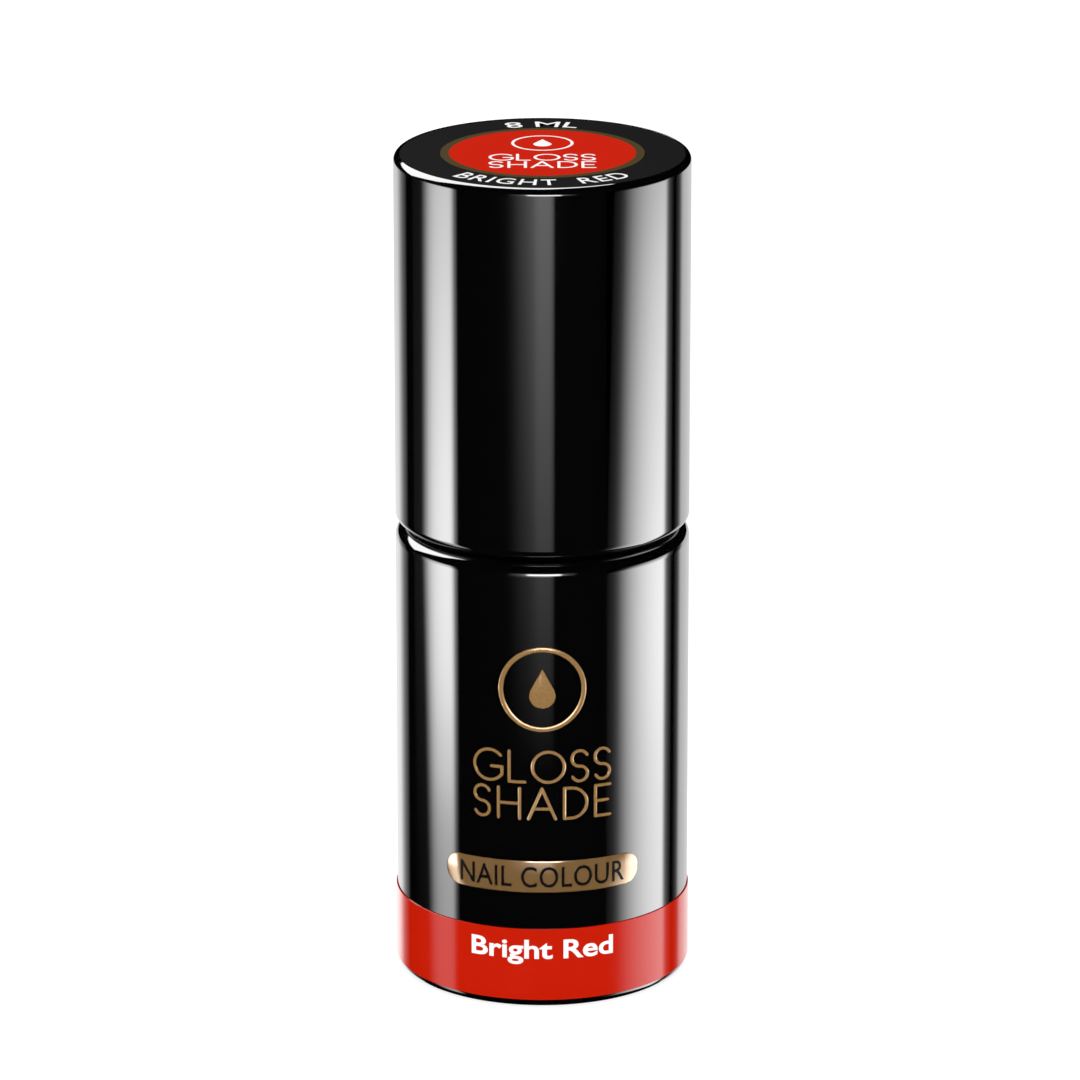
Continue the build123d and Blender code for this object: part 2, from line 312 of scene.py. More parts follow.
def light_panel(name, columns, strength, across=EVEN, up=EVEN, foot=0.0, head=0.0):
    """A patch of the sphere of light panels, whose UV map holds the place across it and up it."""
    start, end = columns[0][0], columns[-1][0]
    verts, faces, uvs = [], [], []
    for left, right in zip(columns, columns[1:]):
        for i in range(PANEL_STRIPS + 1):
            part = i / PANEL_STRIPS
            azimuth, lowest, highest = (a + (b - a) * part for a, b in zip(left, right))
            turn = math.radians(azimuth)
            place = (azimuth - start) / (end - start)
            for k in range(PANEL_ROWS + 1):
                height = k / PANEL_ROWS
                rise = math.radians(lowest + (highest - lowest) * height)
                ring = TENT_R * math.cos(rise)
                z = TENT_Z + TENT_R * math.sin(rise)
                verts.append((ring * math.sin(turn), -ring * math.cos(turn), z))
                uvs.append((1 - (1 - place) * (1 + narrowing(height, foot, head)), height))
    for strip in range((PANEL_STRIPS + 1) * (len(columns) - 1)):
        if strip % (PANEL_STRIPS + 1) == PANEL_STRIPS:
            continue
        for k in range(PANEL_ROWS):
            a = strip * (PANEL_ROWS + 1) + k
            faces.append((a, a + 1, a + PANEL_ROWS + 2, a + PANEL_ROWS + 1))
    mesh = bpy.data.meshes.new(name)
    mesh.from_pydata(verts, [], faces)
    layer = mesh.uv_layers.new(name="panel")
    for loop in mesh.loops:
        layer.data[loop.index].uv = uvs[loop.vertex_index]
    mesh.materials.append(emission(name, strength, across, up))
    panel = bpy.data.objects.new(name, mesh)
    bpy.context.scene.collection.objects.link(panel)
    panel.visible_camera = False
    panel.visible_diffuse = False
    panel.visible_shadow = False


def make_light():
    """A white world that lights evenly and isn't reflected, and the panels, which are."""
    scene = bpy.context.scene
    scene.view_settings.view_transform = "Standard"
    world = bpy.data.worlds.new("studio")
    world.use_nodes = True
    world.node_tree.nodes["Background"].inputs["Color"].default_value = (1, 1, 1, 1)
    world.node_tree.nodes["Background"].inputs["Strength"].default_value = 1.15
    world.cycles_visibility.glossy = False
    scene.world = world
    for name, panel in PANELS.items():
        light_panel(name, **panel)


def make_floor():
    """A white floor that isn't reflected."""
    size = 3.0
    mesh = bpy.data.meshes.new("floor")
    corners = [(-size, -size, 0), (size, -size, 0), (size, size, 0), (-size, size, 0)]
    mesh.from_pydata(corners, [], [(0, 1, 2, 3)])
    mat = bpy.data.materials.new("floor")
    mat.use_nodes = True
    shader = mat.node_tree.nodes["Principled BSDF"]
    shader.inputs["Base Color"].default_value = (0.35, 0.35, 0.35, 1)
    shader.inputs["Roughness"].default_value = 0.9
    shader.inputs["Specular IOR Level"].default_value = 0
    shader.inputs["Emission Color"].default_value = (1, 1, 1, 1)
    shader.inputs["Emission Strength"].default_value = 0.8
    mesh.materials.append(mat)
    floor = bpy.data.objects.new("floor", mesh)
    bpy.context.scene.collection.objects.link(floor)
    floor.visible_glossy = False


# ---------------------------------------------------------------- materials

RED = (0.55, 0.011, 0.0008)
WET_RED = (0.5, 0.011, 0.001)
LACQUER = (0.0018, 0.0018, 0.002)
NYLON = (0.02, 0.02, 0.02)
WET_LINE = (12.0, 12.6)  # heights between which the gel's coat ends, before the noise moves them
RAGGED_WAVES = 900  # noise waves in a metre
RAGGED_RISE = 0.004  # how far up the noise moves that line at most, in metres


def material(
    name,
    colour,
    roughness,
    spread=0.04,
    metallic=0.0,
    ior=1.5,
    shine=0.5,
    grain=0.4,
    bump=0.0,
    tint=0.0,
    stretch=1.0,
):
    """A procedural surface whose roughness, relief and shade vary by the same noise.

    spread is how far the roughness varies either way, and shine the specular level. grain is the
    noise's size in millimetres, bump its height in millimetres, tint how much darker its low places
    are, and stretch how many times longer than wide it is along the object's Z.
    """
    mat = bpy.data.materials.new(name)
    mat.use_nodes = True
    nodes, links = mat.node_tree.nodes, mat.node_tree.links
    shader = nodes["Principled BSDF"]
    shader.inputs["Base Color"].default_value = (*colour, 1)
    shader.inputs["Metallic"].default_value = metallic
    shader.inputs["IOR"].default_value = ior
    shader.inputs["Specular IOR Level"].default_value = shine
    coords = nodes.new("ShaderNodeTexCoord")
    scale = nodes.new("ShaderNodeMapping")
    scale.inputs["Scale"].default_value = (1, 1, 1 / stretch)
    links.new(coords.outputs["Object"], scale.inputs["Vector"])
    noise = nodes.new("ShaderNodeTexNoise")
    noise.inputs["Scale"].default_value = 1 / (grain * MM)
    noise.inputs["Detail"].default_value = 4
    links.new(scale.outputs["Vector"], noise.inputs["Vector"])
    rough = nodes.new("ShaderNodeMapRange")
    rough.inputs["To Min"].default_value = max(roughness - spread, 0)
    rough.inputs["To Max"].default_value = roughness + spread
    links.new(noise.outputs["Fac"], rough.inputs["Value"])
    links.new(rough.outputs["Result"], shader.inputs["Roughness"])
    if tint:
        shade = nodes.new("ShaderNodeValToRGB")
        shade.color_ramp.elements[0].color = (*[c * (1 - tint) for c in colour], 1)
        shade.color_ramp.elements[1].color = (*[min(c * (1 + tint), 1) for c in colour], 1)
        links.new(noise.outputs["Fac"], shade.inputs["Fac"])
        links.new(shade.outputs["Color"], shader.inputs["Base Color"])
    if bump:
        relief = nodes.new("ShaderNodeBump")
        relief.inputs["Strength"].default_value = 1.0
        relief.inputs["Distance"].default_value = bump * MM
        links.new(noise.outputs["Fac"], relief.inputs["Height"])
        links.new(relief.outputs["Normal"], shader.inputs["Normal"])
    return mat


def lacquer(name, grain):
    """Gloss black that reflects more than bare glass or plastic."""
    return material(name, LACQUER, 0.06, 0.02, ior=3.3, grain=grain)


def gold(name, colour, roughness, spread, shine, grain, bump):
    """Lacquered foil, bright in reflections and gold between them."""
    look = {"metallic": 0.45, "ior": 3.3, "shine": shine, "grain": grain, "bump": bump, "tint": 0.1}
    return material(name, colour, roughness, spread, **look)


def wetted(name):
    """Black filaments, coated in red gel up to a ragged line."""
    mat = material(name, NYLON, 0.22, 0.1, grain=0.15, bump=0.01, stretch=8)
    nodes, links = mat.node_tree.nodes, mat.node_tree.links
    coords = nodes.new("ShaderNodeTexCoord")
    split = nodes.new("ShaderNodeSeparateXYZ")
    links.new(coords.outputs["Object"], split.inputs["Vector"])
    ragged = nodes.new("ShaderNodeTexNoise")
    ragged.inputs["Scale"].default_value = RAGGED_WAVES
    links.new(coords.outputs["Object"], ragged.inputs["Vector"])
    edge = nodes.new("ShaderNodeMath")
    edge.operation = "MULTIPLY_ADD"
    edge.inputs[1].default_value = -RAGGED_RISE
    links.new(ragged.outputs["Fac"], edge.inputs[0])
    links.new(split.outputs["Z"], edge.inputs[2])
    blend = nodes.new("ShaderNodeMapRange")
    blend.inputs["From Min"].default_value = WET_LINE[0] * MM
    blend.inputs["From Max"].default_value = WET_LINE[1] * MM
    links.new(edge.outputs["Value"], blend.inputs["Value"])
    ramp = nodes.new("ShaderNodeValToRGB")
    ramp.color_ramp.elements[0].color = (*WET_RED, 1)
    ramp.color_ramp.elements[1].color = (*NYLON, 1)
    links.new(blend.outputs["Result"], ramp.inputs["Fac"])
    links.new(ramp.outputs["Color"], nodes["Principled BSDF"].inputs["Base Color"])
    return mat


def make_materials():
    black, dark = (0.012, 0.012, 0.012), (0.012, 0.012, 0.013)
    label, olive = (0.0095, 0.0095, 0.0095), (0.088, 0.056, 0.013)
    paper, foam = (0.72, 0.72, 0.70), (0.76, 0.76, 0.73)
    steel = (0.55, 0.55, 0.56)
    return {
        "glass": lacquer("lacquered_glass", 3.0),
        "cap": lacquer("gloss_black_cap", 4.0),
        "red": material("gloss_red", RED, 0.09, 0.03, ior=1.58, grain=1.5, tint=0.02),
        "gold": gold("gold_foil", (0.84, 0.46, 0.14), 0.2, 0.06, 0.75, 0.1, 0.003),
        "plaque": gold("gold_plaque", (0.70, 0.39, 0.135), 0.1, 0.03, 1.0, 0.08, 0.002),
        "lettering": material("plaque_lettering", (0.006, 0.005, 0.004), 0.25, 0.06, ior=1.6, grain=0.2),
        "white": material("white_ink", (0.92, 0.92, 0.92), 0.5, 0.08, ior=1.3, grain=0.15, tint=0.03),
        "label": material("label_black", label, 0.62, 0.08, ior=1.15, grain=0.12, bump=0.002, tint=0.08),
        "olive": material("label_gold", olive, 0.5, 0.08, ior=1.2, grain=0.12, bump=0.002, tint=0.1),
        "label_red": material("label_red", RED, 0.6, 0.08, ior=1.04, grain=0.12, bump=0.001, tint=0.03),
        "gel": material("red_gel", RED, 0.08, 0.04, ior=1.5, grain=2.5, bump=0.05, tint=0.05),
        "paper": material("base_paper", paper, 0.6, 0.1, grain=0.1, bump=0.004, tint=0.05),
        "ink": material("black_ink", black, 0.5, 0.08, grain=0.15),
        "foam": material("liner_foam", foam, 0.7, 0.1, grain=0.18, bump=0.03, tint=0.08),
        "stem": material("stem_plastic", black, 0.22, 0.08, grain=0.5, bump=0.004, tint=0.1, stretch=6),
        "steel": material("staple_wire", steel, 0.3, 0.1, metallic=1.0, grain=0.08, bump=0.002),
        "inner": material("moulded_plastic", dark, 0.42, 0.1, grain=0.25, bump=0.008, tint=0.12),
        "bristle": wetted("wet_nylon"),
    }


# ---------------------------------------------------------------- mesh helpers


def rounded(corners, steps=8, support=0.04):
    """Points along an outline of (radius, height, fillet) corners, with each fillet as an arc.

    A point a little past each end of an arc keeps the shading of the stretches between them flat.
    """
    points = []
    for i, (r, z, fillet) in enumerate(corners):
        here = Vector((r, z))
        if fillet == 0 or i in (0, len(corners) - 1):
            points.append(here)
            continue
        back = (Vector(corners[i - 1][:2]) - here).normalized()
        on = (Vector(corners[i + 1][:2]) - here).normalized()
        half = back.angle(on) / 2
        reach = fillet / math.tan(half)
        centre = here + (back + on).normalized() * (fillet / math.sin(half))
        first = here + back * reach - centre
        last = here + on * reach - centre
        turn = first.angle_signed(last)
        extra = min(support, fillet)
        points.append(here + back * (reach + extra))
        for k in range(steps + 1):
            a = -turn * k / steps
            c, s = math.cos(a), math.sin(a)
            points.append(centre + Vector((first.x * c - first.y * s, first.x * s + first.y * c)))
        points.append(here + on * (reach + extra))
    return points


def new_piece(name, verts, faces, mat, body, slot, *replaced, smooth=True):
    """A mesh given in millimetres that rides on a body and stands for CAD nodes."""
    mesh = bpy.data.meshes.new(name)
    mesh.from_pydata([Vector(v) * MM for v in verts], [], faces)
    mesh.validate()
    mesh.materials.append(mat)
    if smooth:
        mesh.shade_smooth()
    else:
        mesh.shade_flat()
    piece = bpy.data.objects.new(name, mesh)
    bpy.context.scene.collection.objects.link(piece)
    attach(piece, body)
    if replaced:
        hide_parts(*replaced)
    return piece


def turned(points, closed=False):
    """Vertices and faces of an outline turned about Z. Points on the axis become one vertex."""
    verts, rows = [], []
    for p in points:
        if p.x < 1e-6:
            rows.append([len(verts)] * SEGMENTS)
            verts.append((0, 0, p.y))
            continue
        rows.append(range(len(verts), len(verts) + SEGMENTS))
        for k in range(SEGMENTS):
            a = TURN * k / SEGMENTS
            verts.append((p.x * math.cos(a), p.x * math.sin(a), p.y))
    pairs = list(zip(rows, rows[1:]))
    if closed:
        pairs.append((rows[-1], rows[0]))
    faces = []
    for low, high in pairs:
        for k in range(SEGMENTS):
            j = (k + 1) % SEGMENTS
            ring = [low[k], low[j], high[j], high[k]]
            faces.append(list(dict.fromkeys(ring)))
    return verts, faces


def lathe(name, corners, mat, body, slot, *replaced, closed=False, steps=8):
    """A piece turned about Z from an outline of (radius, height, fillet) corners."""
    if closed:
        corners = [*corners, corners[0]]
    points = rounded(corners, steps)
    if closed:
        points = points[:-1]
    verts, faces = turned(points, closed)
    return new_piece(name, verts, faces, mat, body, slot, *replaced)


class Flat:
    """Flat, slightly raised shapes drawn in millimetres, x to the right, y up and z outwards."""

    # Where a shape's upright side starts and ends, in heights of the shape. It starts under the surface.
    EDGE_LOW, EDGE_HIGH = -0.15, 0.3
    STROKE_FLAT = 0.55  # share of a stroke's width that is flat on top
    END_ANGLES = (25, 50, 70, 86)  # where the rows of a stroke's round end are, in degrees
    STEP_UP = 0.06  # how much higher each of four strokes in turn stands than the one before

    def __init__(self):
        self.verts = []
        self.faces = []
        self.strokes = 0

    def strip(self, path, width, height, closed=False):
        """A raised stroke along a path of (x, y) points, with sloping edges and round ends.

        Strokes differ a little in height, so that no two lie in one plane where they cross.
        """
        half = width / 2
        height *= 1 + self.STEP_UP * (self.strokes % 4)
        self.strokes += 1
        side_up = ((1, self.EDGE_LOW), (1, self.EDGE_HIGH), (self.STROKE_FLAT, 1))
        profile = [(-across, rise) for across, rise in side_up] + list(reversed(side_up))
        rows = []
        count = len(path)
        for i, here in enumerate(path):
            back = path[(i - 1) % count] if closed or i else here
            on = path[(i + 1) % count] if closed or i < count - 1 else here
            rows.append((here, (on - back).normalized(), 1.0))
        if not closed:
            rows = [*self.round_end(rows[0], -half), *rows, *reversed(self.round_end(rows[-1], half))]
        first = len(self.verts)
        for here, along, narrow in rows:
            side = Vector((along.y, -along.x))
            for across, rise in profile:
                spot = here + side * across * half * narrow
                self.verts.append((spot.x, spot.y, rise * height))
        n = len(profile)
        for i in range(len(rows) if closed else len(rows) - 1):
            j = (i + 1) % len(rows)
            for k in range(n - 1):
                a, b = first + i * n + k, first + j * n + k
                self.faces.append((a, a + 1, b + 1, b))
        return self

    def round_end(self, row, reach):
        """Rows that round off a stroke past its last row, from the outermost inwards."""
        here, along, _ = row
        angles = [math.radians(deg) for deg in reversed(self.END_ANGLES)]
        return [(here + along * reach * math.sin(a), along, math.cos(a)) for a in angles]

    def stamp(self, outline, inset, height):
        """A raised filled shape with a sloping edge, from its outline and the same outline set in."""
        first = len(self.verts)
        n = len(outline)
        for ring, rise in ((outline, self.EDGE_LOW), (outline, self.EDGE_HIGH), (inset, 1)):
            self.verts += [(p.x, p.y, rise * height) for p in ring]
        for row in range(2):
            for k in range(n):
                a, b = first + row * n + k, first + row * n + (k + 1) % n
                self.faces.append((a, b, b + n, a + n))
        self.faces.append(tuple(range(first + 2 * n, first + 3 * n)))
        return self

    def write(self, text, length, cap_height, bold, height, centre=0.0, spacing=1.0):
        """Lettering in the built-in font, centred on x = 0 and on y = centre."""
        curve = bpy.data.curves.new("lettering", "FONT")
        curve.body = text
        curve.size = 1.0
        curve.offset = bold
        curve.space_character = spacing
        curve.extrude = 0.5
        curve.resolution_u = 4
        holder = bpy.data.objects.new("lettering", curve)
        mesh = bpy.data.meshes.new_from_object(holder)
        left = min(v.co.x for v in mesh.vertices)
        right = max(v.co.x for v in mesh.vertices)
        top = max(v.co.y for v in mesh.vertices)
        first = len(self.verts)
        for v in mesh.vertices:
            x = (v.co.x - (left + right) / 2) * length / (right - left)
            y = (v.co.y / top - 0.5) * cap_height + centre
            z = (v.co.z + curve.extrude + self.EDGE_LOW) * height
            self.verts.append((x, y, z))
        self.faces += [tuple(first + i for i in p.vertices) for p in mesh.polygons]
        bpy.data.objects.remove(holder)
        bpy.data.curves.remove(curve)
        bpy.data.meshes.remove(mesh)
        return self

    def place(self, name, where, mat, body, slot, *replaced, slices=0.35, smooth=True):
        """The shapes as a piece. where turns a flat point into a point of the object.

        They are first cut into slices of that width, so that they can bend round the bottle.
        """
        made = bmesh.new()
        verts = [made.verts.new(v) for v in self.verts]
        for face in self.faces:
            made.faces.new([verts[i] for i in face])
        bmesh.ops.remove_doubles(made, verts=made.verts, dist=1e-4)
        xs = [v.co.x for v in made.verts]
        if slices:
            for k in range(math.ceil(min(xs) / slices), math.floor(max(xs) / slices) + 1):
                everything = made.verts[:] + made.edges[:] + made.faces[:]
                cut = (k * slices, 0, 0)
                bmesh.ops.bisect_plane(made, geom=everything, plane_co=cut, plane_no=(1, 0, 0))
        bmesh.ops.recalc_face_normals(made, faces=made.faces)
        mesh = bpy.data.meshes.new("flat")
        made.to_mesh(mesh)
        made.free()
        points = [where(*v.co) for v in mesh.vertices]
        faces = [tuple(p.vertices) for p in mesh.polygons]
        bpy.data.meshes.remove(mesh)
        piece = new_piece(name, points, faces, mat, body, slot, *replaced, smooth=smooth)
        if smooth:
            piece.data.set_sharp_from_angle(angle=math.radians(28))
        return piece


def on_cylinder(radius, height):
    """Flat shapes wrapped round the front, with y = 0 at the given height."""

    def where(x, y, z):
        a = x / radius
        return ((radius + z) * math.sin(a), -(radius + z) * math.cos(a), height + y)

    return where


def on_top(level):
    """Flat shapes on top of the cap, upright for someone in front of the bottle."""
    return lambda x, y, z: (x, y, level + z)


def on_arc(radius, level, back=False):
    """Lettering along a circle on the top, upright for someone in front of the bottle."""

    def where(x, y, z):
        a = x / radius
        r = radius + y if back else radius - y
        return (r * math.sin(a), (r if back else -r) * math.cos(a), level + z)

    return where


def facing_down(level):
    """Flat shapes on the underside, to be read from below."""
    return lambda x, y, z: (-x, y, level - z)


def arc(centre, radius, from_deg, sweep_deg, step_deg=10):
    """Points along an arc, both ends included."""
    count = max(2, math.ceil(abs(sweep_deg) / step_deg))
    angles = [math.radians(from_deg + sweep_deg * k / count) for k in range(count + 1)]
    return [Vector(centre) + Vector((math.cos(a), math.sin(a))) * radius for a in angles]


def circle(centre, radius, count=96):
    """Points round a circle, each once."""
    return arc(centre, radius, 0, 360 * (count - 1) / count, 360 / count)


def stadium(width, height):
    """Outline of a bar with half-round ends."""
    half = height / 2
    straight = width / 2 - half
    return [*arc((straight, 0), half, -90, 180, 7.5), *arc((-straight, 0), half, 90, 180, 7.5)]


def drop(round_r, tip, middle):
    """Outline of a drop: a round end about (0, middle) and a point above it, tip from that middle."""
    half = math.degrees(math.acos(round_r / tip))
    bow = arc((0, 0), round_r, 90 + half, 360 - 2 * half, 6)
    return [p + Vector((0, middle)) for p in (Vector((0, tip)), *bow)]


# ---------------------------------------------------------------- lettering of the bottle's name

# Strokes of the capitals, in units of their height:
# bars as x0, y0, x1, y1 and bows as centre, radius, start and sweep in degrees
LETTER_WIDTHS = {"A": 0.84, "D": 0.72, "E": 0.5, "G": 0.92, "H": 0.68, "L": 0.5, "O": 1.0, "S": 0.52}
LETTER_BARS = {
    "A": ((0, 0, 0.42, 1), (0.42, 1, 0.84, 0), (0.14, 0.33, 0.7, 0.33)),
    "D": ((0, 0, 0, 1), (0, 1, 0.22, 1), (0, 0, 0.22, 0)),
    "E": ((0, 0, 0, 1), (0, 1, 0.5, 1), (0, 0.5, 0.42, 0.5), (0, 0, 0.5, 0)),
    "G": ((0.58, 0.46, 0.92, 0.46), (0.92, 0.46, 0.92, 0.23)),
    "H": ((0, 0, 0, 1), (0, 0.5, 0.68, 0.5), (0.68, 0, 0.68, 1)),
    "L": ((0, 1, 0, 0), (0, 0, 0.5, 0)),
}
LETTER_BOWS = {
    "D": ((0.22, 0.5, 0.5, -90, 180),),
    "G": ((0.5, 0.5, 0.5, 42, 286),),
    "O": ((0.5, 0.5, 0.5, 0, 360),),
    "S": ((0.26, 0.745, 0.255, 25, 245), (0.26, 0.245, 0.245, -155, 245)),
}
BAR_STEPS = 6  # stretches along a bar


def word(shapes, text, length, height, stroke, rise, middle):
    """A word in even strokes, centred on x = 0 and y = middle."""
    widths = [LETTER_WIDTHS[name] * height for name in text]
    gap = (length - sum(widths)) / (len(text) - 1)
    x = -length / 2
    low = middle - height / 2
    for name, width in zip(text, widths):
        for x0, y0, x1, y1 in LETTER_BARS.get(name, ()):
            start = Vector((x + x0 * height, low + y0 * height))
            end = Vector((x + x1 * height, low + y1 * height))
            shapes.strip([start.lerp(end, k / BAR_STEPS) for k in range(BAR_STEPS + 1)], stroke, rise)
        for cx, cy, r, from_deg, sweep in LETTER_BOWS.get(name, ()):
            path = arc((x + cx * height, low + cy * height), r * height, from_deg, sweep)
            whole = sweep == 360
            shapes.strip(path[:-1] if whole else path, stroke, rise, closed=whole)
        x += width + gap


# ---------------------------------------------------------------- bottle


def make_bottle(mats):
    corners = [
        (0, PUNT_DEPTH, 0),
        (PUNT_R, PUNT_DEPTH, PUNT_FILLET),
        (PUNT_R, 0, PUNT_FILLET),
        (BODY_R, 0, FOOT_FILLET),
        (BODY_R, SHOULDER, SHOULDER_FILLET),
        (NECK_R, SHOULDER, NECK_FOOT_FILLET),
        (NECK_R, BEAD_LOW, BEAD_FOOT_FILLET),
        (BEAD_R, BEAD_LOW + BEAD_SLANT, BEAD_FILLET),
        (BEAD_R, BEAD_HIGH - BEAD_SLANT, BEAD_FILLET),
        (NECK_R, BEAD_HIGH, BEAD_FOOT_FILLET),
        (NECK_R, NECK_TOP, NECK_LIP_FILLET),
        (NECK_BORE, NECK_TOP, NECK_LIP_FILLET),
        (NECK_BORE, THROAT, THROAT_FILLET),
        (CAVITY_R, CAVITY_WALL_TOP, CAVITY_ROOF_FILLET),
        (CAVITY_R, CAVITY_FLOOR, CAVITY_FILLET),
        (0, CAVITY_FLOOR, 0),
    ]
    lathe("bottle_shell", corners, mats["glass"], "bottle", "black_glass", "glass_bottle")


def make_neck_thread(mats):
    """The glass ridge that the cap screws on, fading in and out over its first and last stretch."""
    steps = round(THREAD_TURNS * 96)
    fade = 14  # steps
    root = NECK_R - 0.1  # its root is inside the neck's wall
    verts, faces = [], []
    for k in range(steps + 1):
        a = TURN * THREAD_TURNS * k / steps
        z = THREAD_START + THREAD_PITCH * THREAD_TURNS * k / steps
        full = min(1, k / fade, (steps - k) / fade)
        tip = root + (THREAD_R - root) * max(full, 0.02)
        below = [(root, -0.5), (tip - 0.05, -0.33), (tip, -0.24)]
        above = [(r, -dz) for r, dz in reversed(below)]
        for r, dz in below + above:
            verts.append((r * math.cos(a), r * math.sin(a), z + dz))
    n = len(below + above)
    for k in range(steps):
        for i in range(n - 1):
            a = n * k + i
            faces.append((a, a + n, a + n + 1, a + 1))
    start_cap = tuple(reversed(range(n)))
    end_cap = tuple(range(n * steps, n * steps + n))
    faces += [start_cap, end_cap]
    new_piece("neck_thread", verts, faces, mats["glass"], "bottle", "black_glass")


def make_band(mats):
    """The red film round the foot of the bottle, and the shade's name on it."""
    glue_r = BODY_R - 0.02  # just inside the glass
    film_r = BAND_R - 0.02  # leaves room for the ink
    edge = 0.03
    corners = [
        (glue_r, BAND_LOW, 0),
        (film_r, BAND_LOW, edge),
        (film_r, BAND_HIGH, edge),
        (glue_r, BAND_HIGH, 0),
    ]
    lathe("band_film", corners, mats["red"], "bottle", "red_band", "colour_band", steps=3)
    text = Flat().write(*BAND_TEXT, INK_H)
    where = on_cylinder(film_r, BAND_TEXT_Z)
    text.place("band_text", where, mats["white"], "bottle", "base_paper", smooth=False)


def make_foil(mats):
    """The gold ring with a drop in it, and the two gold words under it."""
    middle = (EMBLEM_LOW + EMBLEM_HIGH) / 2
    ring_r = (EMBLEM_HIGH - EMBLEM_LOW) / 2 - EMBLEM_STROKE / 2
    emblem = Flat().strip(circle((0, 0), ring_r), EMBLEM_STROKE, FOIL_H, closed=True)
    outline = drop(DROP_R, DROP_TIP, DROP_MIDDLE)
    flat_top = drop(DROP_FLAT_R, DROP_FLAT_TIP, DROP_MIDDLE)
    emblem.stamp(outline, flat_top, FOIL_H)
    where = on_cylinder(BODY_R, middle)
    emblem.place("emblem_foil", where, mats["gold"], "bottle", "gold_foil", "foil_emblem")

    name = Flat()
    for text, z in WORD_MIDDLES.items():
        word(name, text, WORD_LENGTH, WORD_HEIGHT, WORD_STROKE, FOIL_H, z)
    name.place("word_foil", on_cylinder(BODY_R, 0), mats["gold"], "bottle", "gold_foil", "foil_words")


def make_plaque(mats):
    """The gold plaque on the front, and its lettering."""
    middle = (PLAQUE_LOW + PLAQUE_HIGH) / 2
    height = PLAQUE_HIGH - PLAQUE_LOW
    width = 2 * BODY_R * math.asin(PLAQUE_W / 2 / (BODY_R + FOIL_H))
    flat_top = stadium(width - PLAQUE_SLOPE, height - PLAQUE_SLOPE)
    pill = Flat().stamp(stadium(width, height), flat_top, FOIL_H)
    where = on_cylinder(BODY_R, middle)
    pill.place("plaque_foil", where, mats["plaque"], "bottle", "gold_foil", "foil_plaque")
    text = Flat().write(*PLAQUE_TEXT, PLAQUE_INK_H, spacing=1.05)
    where = on_cylinder(BODY_R + FOIL_H, middle)
    text.place("plaque_text", where, mats["lettering"], "bottle", "stem_plastic", smooth=False)


def make_base_print(mats):
    """The black ring and lettering on the label under the base."""
    ink = Flat().strip(circle((0, 0), BASE_RING_R), BASE_STROKE, INK_H, closed=True)
    ink.write(*BASE_NAME_TEXT, INK_H, centre=BASE_NAME_MIDDLE)
    ink.write(*BASE_SIZE_TEXT, INK_H, centre=BASE_SIZE_MIDDLE)
    where = facing_down(BASE_PRINT_Z)
    ink.place("base_print", where, mats["ink"], "bottle", "stem_plastic", slices=0, smooth=False)


# ---------------------------------------------------------------- cap


def make_outer_cap(mats):
    floor = CAP_TOP - TOP_RECESS
    fall = (BODY_R - TOP_EDGE_R) * math.tan(CAP_TOP_SLOPE)
    corners = [
        (0, floor, 0),
        (TOP_RECESS_R, floor, 0.02),
        (TOP_RECESS_R, CAP_TOP, 0.02),
        (TOP_EDGE_R - 0.01, CAP_TOP, 0.01),
        (BODY_R, CAP_TOP - fall, CAP_TOP_FILLET),
        (BODY_R, CAP_LOW, CAP_LOW_FILLET),
        (CAP_BORE, CAP_LOW, CAP_BORE_FILLET),
        (CAP_BORE, CAP_ROOF, CAP_BORE_FILLET),
        (0, CAP_ROOF, 0),
    ]
    lathe("cap_shell", corners, mats["cap"], "cap", "cap_plastic", "outer_cap", steps=10)


def make_top_print(mats):
    """The white ring, drop and words on the red disc, and the lettering round it."""
    ink = Flat().strip(circle((0, TOP_RING_MIDDLE), TOP_RING_R), TOP_STROKE, INK_H, closed=True)
    outline = drop(TOP_DROP_R, TOP_DROP_TIP, TOP_DROP_MIDDLE)
    flat_top = drop(TOP_DROP_FLAT_R, TOP_DROP_FLAT_TIP, TOP_DROP_MIDDLE)
    ink.stamp(outline, flat_top, INK_H)
    for text, middle in TOP_WORD_MIDDLES.items():
        word(ink, text, TOP_WORD_LENGTH, TOP_WORD_HEIGHT, TOP_STROKE, INK_H, middle)
    ink.place("top_emblem", on_top(DISC_TOP), mats["white"], "cap", "base_paper", slices=0)
    front = Flat().write(*TOP_FRONT_TEXT, INK_H, spacing=1.1)
    where = on_arc(TOP_FRONT_R, LABEL_TOP)
    front.place("top_text_front", where, mats["white"], "cap", "base_paper", smooth=False)
    back = Flat().write(*TOP_BACK_TEXT, INK_H)
    where = on_arc(TOP_BACK_R, LABEL_TOP, back=True)
    back.place("top_text_back", where, mats["white"], "cap", "base_paper", smooth=False)


# ---------------------------------------------------------------- brush and inner parts


def make_liner(mats):
    corners = [
        (NECK_BORE, (LINER_LOW + LINER_HIGH) / 2, 0),
        (NECK_BORE, LINER_LOW, LINER_FILLET),
        (LINER_R, LINER_LOW, LINER_FILLET),
        (LINER_R, LINER_HIGH, LINER_FILLET),
        (NECK_BORE, LINER_HIGH, LINER_FILLET),
    ]
    lathe("liner_washer", corners, mats["foam"], "liner", "foam", "seal_liner", closed=True, steps=4)


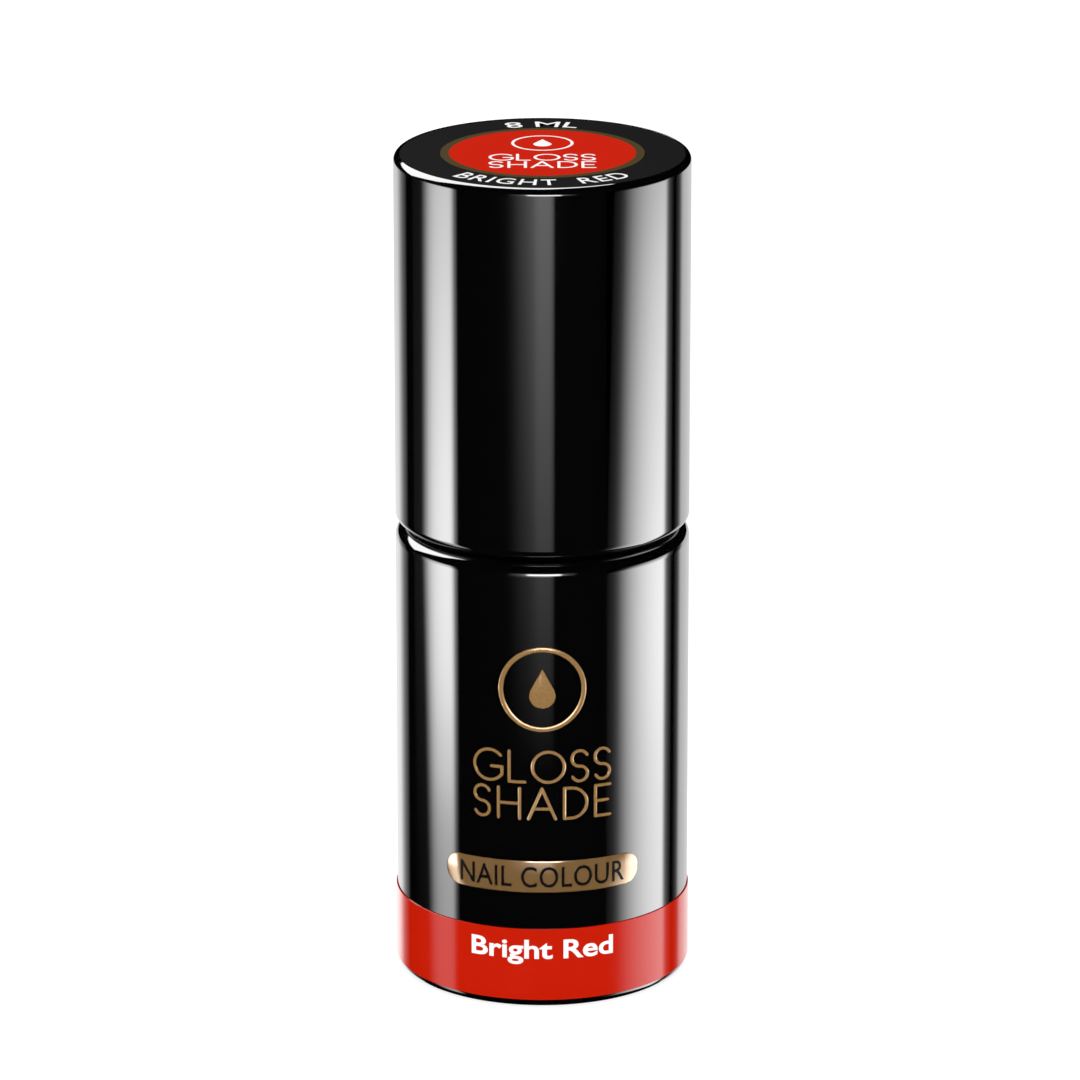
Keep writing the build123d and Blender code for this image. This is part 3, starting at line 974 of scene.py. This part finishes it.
FILAMENTS = 420
FILAMENT_R = 0.055
FILAMENT_SIDES = 5
FILAMENT_TIP = 0.45  # share of its radius that a filament has at its tip
BUNDLE_R = 0.98  # the round bundle in the stem's hole
FLARE_Z = TUFT_LOW + 2.2  # where the tuft is widest
FILAMENT_HEIGHTS = (STEM_LOW + 0.6, STEM_LOW - 0.5, 14.0, 11.5, FLARE_Z)
TIP_LENGTH = 0.2  # the stretch over which a filament tapers
TUFT_CLEAR = 0.1  # how far inside the CAD tuft the filaments' middles stay
TUFT_CLOSE_W = 0.35  # how much narrower and thinner the tuft is at its tip than where it is widest
TUFT_CLOSE_T = 0.3
TIP_CLEAR = 0.05
TIP_ROUND = 2.6  # height of the tuft's round tip
TIP_FLATTEN = 0.96  # under 1, so that the tip's outline never runs straight up
TIP_UNEVEN = 0.18
SWAY = 0.03


def tuft_half_size(z):
    """Half the tuft's width and thickness at a height, and how far it has opened there, 0 to 1."""
    open_up = min(max((STEM_LOW - z) / (STEM_LOW - FLARE_Z), 0), 1)
    close_in = max((FLARE_Z - z) / (FLARE_Z - TUFT_LOW), 0)
    wide = BUNDLE_R + (TUFT_HALF_W - TUFT_CLEAR - BUNDLE_R) * open_up ** 0.8
    thick = BUNDLE_R + (TUFT_HALF_T - TUFT_CLEAR - BUNDLE_R) * open_up
    return wide - TUFT_CLOSE_W * close_in ** 2, thick - TUFT_CLOSE_T * close_in ** 2, open_up


def make_bristles(mats):
    """Filaments that leave the stem's hole in a round bundle and fan out to a flat, round-tipped tuft."""
    rng = random.Random(7)
    golden = math.pi * (3 - math.sqrt(5))
    sides = FILAMENT_SIDES
    verts, faces = [], []
    for n in range(FILAMENTS):
        spread = math.sqrt((n + 0.5) / FILAMENTS)
        u = spread * math.cos(n * golden)
        v = spread * math.sin(n * golden)
        curl = 1 - math.sqrt(1 - TIP_FLATTEN * u * u)
        tip_z = TUFT_LOW + TIP_CLEAR + TIP_ROUND * curl + rng.uniform(0, TIP_UNEVEN)
        sway = rng.uniform(-SWAY, SWAY)
        first = len(verts)
        heights = [*FILAMENT_HEIGHTS, (FLARE_Z + tip_z) / 2, tip_z + TIP_LENGTH, tip_z]
        last = len(heights) - 1
        for k, z in enumerate(heights):
            half_w, half_t, open_up = tuft_half_size(z)
            r = FILAMENT_R * (FILAMENT_TIP if k == last else 1)
            for s in range(sides):
                a = TURN * s / sides
                x = u * half_w + sway * math.sin(k) * open_up + r * math.cos(a)
                verts.append((x, v * half_t + r * math.sin(a), z))
        for k in range(last):
            for s in range(sides):
                a = first + k * sides + s
                b = first + k * sides + (s + 1) % sides
                faces.append((a, a + sides, b + sides, b))
        tip = first + last * sides
        faces.append(tuple(range(first, first + sides)))
        faces.append(tuple(reversed(range(tip, tip + sides))))
    new_piece("bristle_filaments", verts, faces, mats["bristle"], "brush", "nylon", "bristle_tuft")


# ---------------------------------------------------------------- the whole bottle

# CAD nodes whose shape is right, and their material
CAD_FINISH = {
    "top_label": "label",
    "top_gold_ring": "olive",
    "top_red_disc": "label_red",
    "gel_fill": "gel",
    "base_label": "paper",
    "brush_stem": "stem",
    "bristle_staple": "steel",
    "inner_cap": "inner",
    "cap_insert": "inner",
}

make_camera()
make_light()
make_floor()
mats = make_materials()
make_bottle(mats)
make_neck_thread(mats)
make_band(mats)
make_foil(mats)
make_plaque(mats)
make_outer_cap(mats)
make_top_print(mats)
make_liner(mats)
make_bristles(mats)
make_base_print(mats)
for node, finish in CAD_FINISH.items():
    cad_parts[node].data.materials.clear()
    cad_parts[node].data.materials.append(mats[finish])
